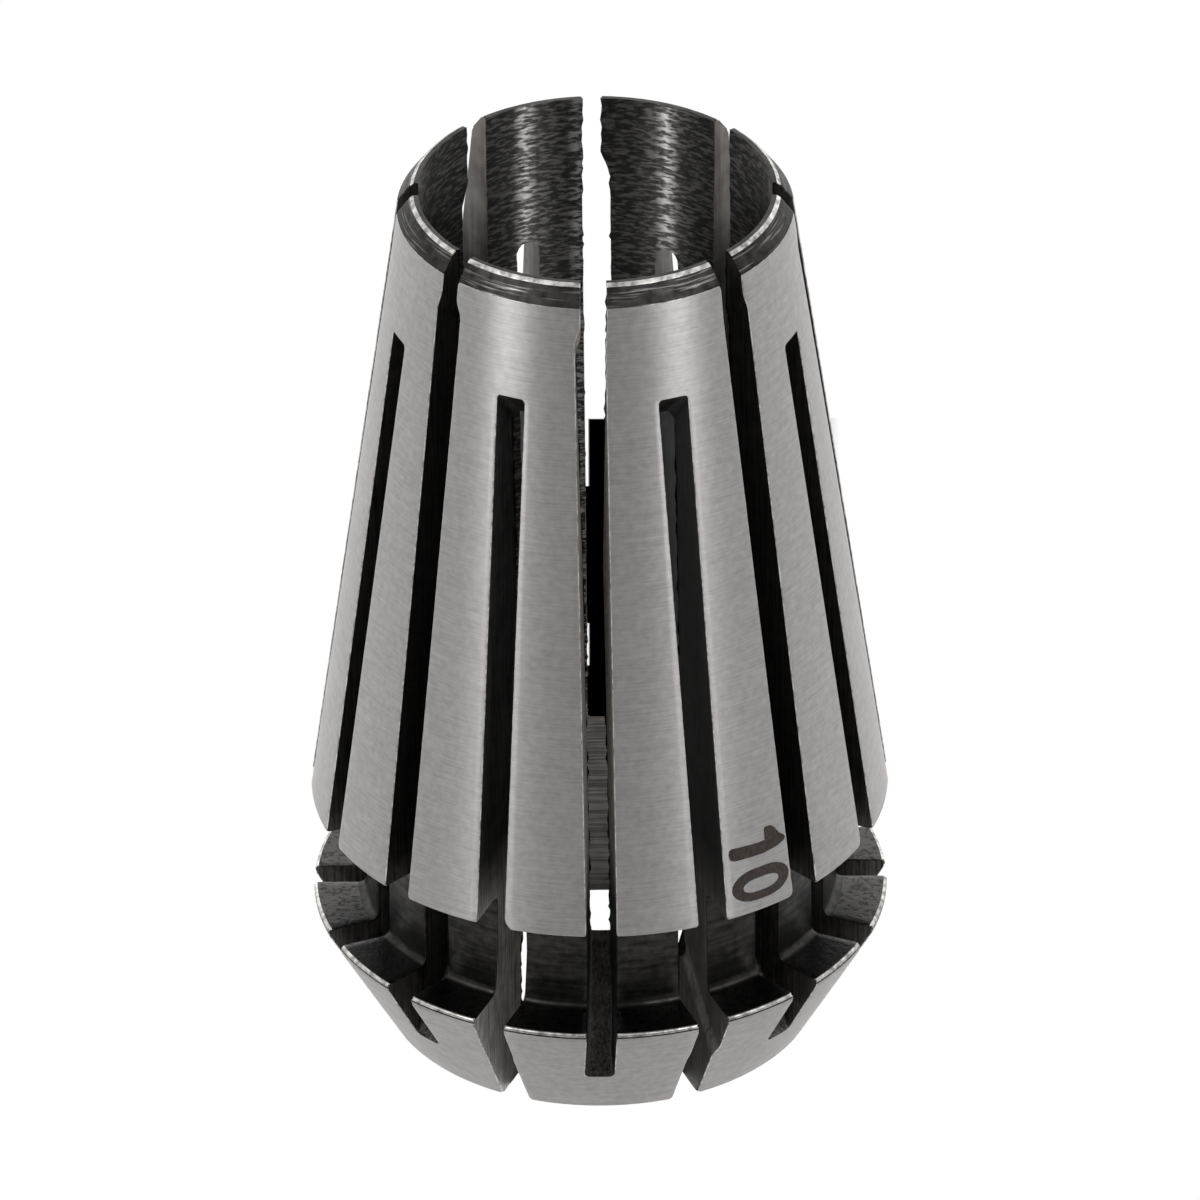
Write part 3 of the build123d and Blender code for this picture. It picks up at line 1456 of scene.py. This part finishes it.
@dataclass(frozen=True)
class PaintedShadowStrip:
    """The strip of the table behind the collet, painted near black to the camera as the collet's shadow.

    Each of ``painted_light_slits`` is a white gap in it, painted light where the lamp would shine
    through the slots, by its middle and half length, which comes in from the left as far as ``slit_end``.
    """

    # The painted shadow's near-black colour.
    colour: str = "#0a0a0a"
    half_width: float = 6.0
    start: float = 8.0
    end: float = 31.9
    fade: float = 1.2
    blur: float = 0.05
    painted_light_slits: tuple[tuple[float, float], ...] = ((18.8, 1.2), (29.95, 2.0))
    slit_end: float = -0.312
    slit_slant: float = 0.0095

    def outside(self, tree: Tree) -> Socket:
        """Make the share that is white.

        Args:
            tree: The tree of the table's material.

        Returns:
            0 on the painted shadow, 1 round it and in its painted light slits.
        """
        place = add_node(tree, "ShaderNodeTexCoord", {}).outputs["Object"]
        parts = add_node(tree, "ShaderNodeSeparateXYZ", {"Vector": place}).outputs
        limits = (
            (parts["X"], self.half_width, self.half_width + self.fade),
            (parts["X"], -self.half_width, -self.half_width - self.fade),
            (parts["Y"], self.start, self.start - self.fade),
            (parts["Y"], self.end, self.end + self.blur),
        )
        whites = [ramp(tree, value, dark * MM, bright * MM) for value, dark, bright in limits]
        slanted = sum_of(tree, "MULTIPLY_ADD", parts["Y"], self.slit_slant, parts["X"])
        left = ramp(tree, slanted, self.slit_end * MM, (self.slit_end - self.blur) * MM)
        # The slits: painted light, white gaps in the painted shadow.
        for middle, half_length in self.painted_light_slits:
            within = sum_of(tree, "COMPARE", parts["Y"], middle * MM, half_length * MM)
            whites.append(sum_of(tree, "MULTIPLY", left, within))
        outside = whites[0]
        for white in whites[1:]:
            outside = sum_of(tree, "MAXIMUM", outside, white)
        return outside


@dataclass(frozen=True)
class Studio:
    """A white table under a lamp in front, in a room that is darker behind the camera."""

    floor_size: float = 2000.0
    floor_colour: str = "#e7e7e7"
    # Painted shadow behind the collet, seen by the camera only.
    strip: PaintedShadowStrip = PaintedShadowStrip()
    key_azimuth: float = 6.5
    key_elevation: float = 43.5
    key_angle: float = 0.8
    key_strength: float = 5.5
    front_level: float = 0.076
    back_level: float = 2.0
    fill_level: float = 0.003
    panel_aim_height: float = 14.0
    panels: tuple[Panel, ...] = (
        Panel("left panel", -50, 45, 70, 15, 30, 0.0172),
        Panel("right panel", 47.5, 45, 70, 16, 30, 0.0165),
    )

    def build(self) -> None:
        """Make the floor, the lamps and the room."""
        self.floor()
        self.key()
        for panel in self.panels:
            panel.build(Vector((0, 0, self.panel_aim_height * MM)))
        self.room()
        bpy.context.scene.view_settings.view_transform = "Standard"

    def floor(self) -> None:
        """Make the table top, which the camera sees white outside the strip of painted shadow."""
        bpy.ops.mesh.primitive_plane_add(size=self.floor_size * MM)
        floor = bpy.context.object
        floor.name = "floor"
        material = bpy.data.materials.new("matt white table")
        material.use_nodes = True
        tree = material.node_tree
        shader = tree.nodes["Principled BSDF"]
        shader.inputs["Roughness"].default_value = 1.0
        shader.inputs["Specular IOR Level"].default_value = 0.0
        seen = add_node(tree, "ShaderNodeLightPath", {}).outputs["Is Camera Ray"]
        # For the camera the base colour is the painted shadow's near black; the glow whitens the rest.
        colour = blend_colours(tree, seen, self.floor_colour, self.strip.colour)
        tree.links.new(colour, shader.inputs["Base Color"])
        shader.inputs["Emission Color"].default_value = (1.0, 1.0, 1.0, 1.0)
        glow = sum_of(tree, "MULTIPLY", self.strip.outside(tree), seen)
        tree.links.new(glow, shader.inputs["Emission Strength"])
        floor.data.materials.append(material)
        log.info("floor: %.0f mm square", self.floor_size)

    def key(self) -> None:
        """Make the lamp in front, which throws the collet's shadow behind it."""
        data = bpy.data.lights.new("key", "SUN")
        data.energy = self.key_strength
        data.angle = math.radians(self.key_angle)
        lamp = bpy.data.objects.new("key", data)
        towards = direction(self.key_azimuth, self.key_elevation)
        lamp.rotation_euler = (-towards).to_track_quat("-Z", "Y").to_euler()
        lamp.visible_glossy = False
        bpy.context.scene.collection.objects.link(lamp)
        log.info("key: %.1f degrees up", self.key_elevation)

    def room(self) -> None:
        """Make the room: what bright steel mirrors, and a faint fill in the shadows."""
        world = bpy.data.worlds.new("studio")
        bpy.context.scene.world = world
        world.use_nodes = True
        tree = world.node_tree
        place = add_node(tree, "ShaderNodeTexCoord", {}).outputs["Generated"]
        back = add_node(tree, "ShaderNodeSeparateXYZ", {"Vector": place}).outputs["Y"]
        mirrored = ramp(tree, back, -1.0, 1.0, self.front_level, self.back_level)
        rays = add_node(tree, "ShaderNodeLightPath", {}).outputs
        level = blend(tree, rays["Is Glossy Ray"], self.fill_level, mirrored)
        shown = blend(tree, rays["Is Camera Ray"], level, 1.0)
        background = tree.nodes["Background"]
        background.inputs["Color"].default_value = (1.0, 1.0, 1.0, 1.0)
        tree.links.new(shown, background.inputs["Strength"])
        log.info("room: mirrored at levels %.3f to %.1f", self.front_level, self.back_level)


# Slots that strayed from the pattern, by number from the front round to the right.
MEASURED_CUTS = {
    0: Cut(
        (0.0, 0.015, 0.08, 0.12, 0.11, -0.131), (0.43, 0.43, 0.43, 0.43, 0.44, 0.44), -0.005, 0.37,
        bore_insets=(0.06, 0.22), heights=(0.0, 1.7, 3.2, 5.0, 8.0, 27.5),
    ),
    1: Cut(
        (-0.07, -0.01, 0.05, 0.09, 0.155, 0.11, -0.142), (0.49, 0.47, 0.46, 0.46, 0.46, 0.445, 0.445),
        0.05, 0.4, heights=(0.0, 0.6, 1.1, 1.6, 2.4, 8.0, 27.5),
    ),
    2: Cut((0.111, -0.14), (0.475, 0.475), -0.175, 0.4),
    3: Cut((0.135, -0.093), (0.47, 0.47)),
    4: Cut((0.563, -0.214)),
    6: Cut((-0.08, -0.04), (0.37, 0.37), -0.05, 0.34),
    7: Cut((-0.32, 0.01), (0.38, 0.38), end_lift=-0.26),
    8: Cut((0.0, 0.035), (), 0.145, 0.295, end_lift=1.0),
    9: Cut((-0.18, 0.14), (0.38, 0.38)),
    10: Cut((-0.09, -0.08), (0.5, 0.51), -0.19, 0.39),
    12: Cut((-0.19, 0.0)),
    13: Cut((0.052, 0.032), (0.45, 0.45)),
    14: Cut((0.231, -0.05), (0.465, 0.465), -0.08, 0.3),
    15: Cut(
        (-0.065, -0.014, 0.018, 0.13, 0.132, -0.089), (0.44, 0.45, 0.46, 0.45, 0.425, 0.425), 0.0, 0.42,
        heights=(0.0, 0.9, 3.4, 5.5, 8.0, 27.5),
    ),
}
# Slots whose walls differ from the black of the rest, mostly in painted light and painted shade.
SAWN_FINISHES = {
    0: Finish.GREY_SAWN,
    1: Finish.STREAKED_SAWN,
    6: Finish.REAR_SAWN,
    7: Finish.INNER_SAWN,
    9: Finish.INNER_SAWN,
    10: Finish.REAR_SAWN,
    15: Finish.SAWN_PAINTED_LIGHT,
}
# Rounder corners at the taper's big end, by slot and by which side of it.
WORN_CORNERS = {(15, 1): 0.4, (13, 1): 0.25, (1, -1): 0.15, (3, -1): 0.3, (2, -1): 0.25}


def main() -> None:
    """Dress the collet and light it."""
    logging.basicConfig(level=logging.INFO)
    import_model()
    materials = {finish: steel.build() for finish, steel in STEELS.items()}
    log.info("finishes: %d", len(materials))
    body = ColletBody(
        worn_corners=WORN_CORNERS, measured_cuts=MEASURED_CUTS, sawn_finishes=SAWN_FINISHES
    )
    body.build(materials)
    SizeMark().build(body, ETCHED.build())
    StudioCamera().build()
    Studio().build()


if __name__ == "__main__":
    main()
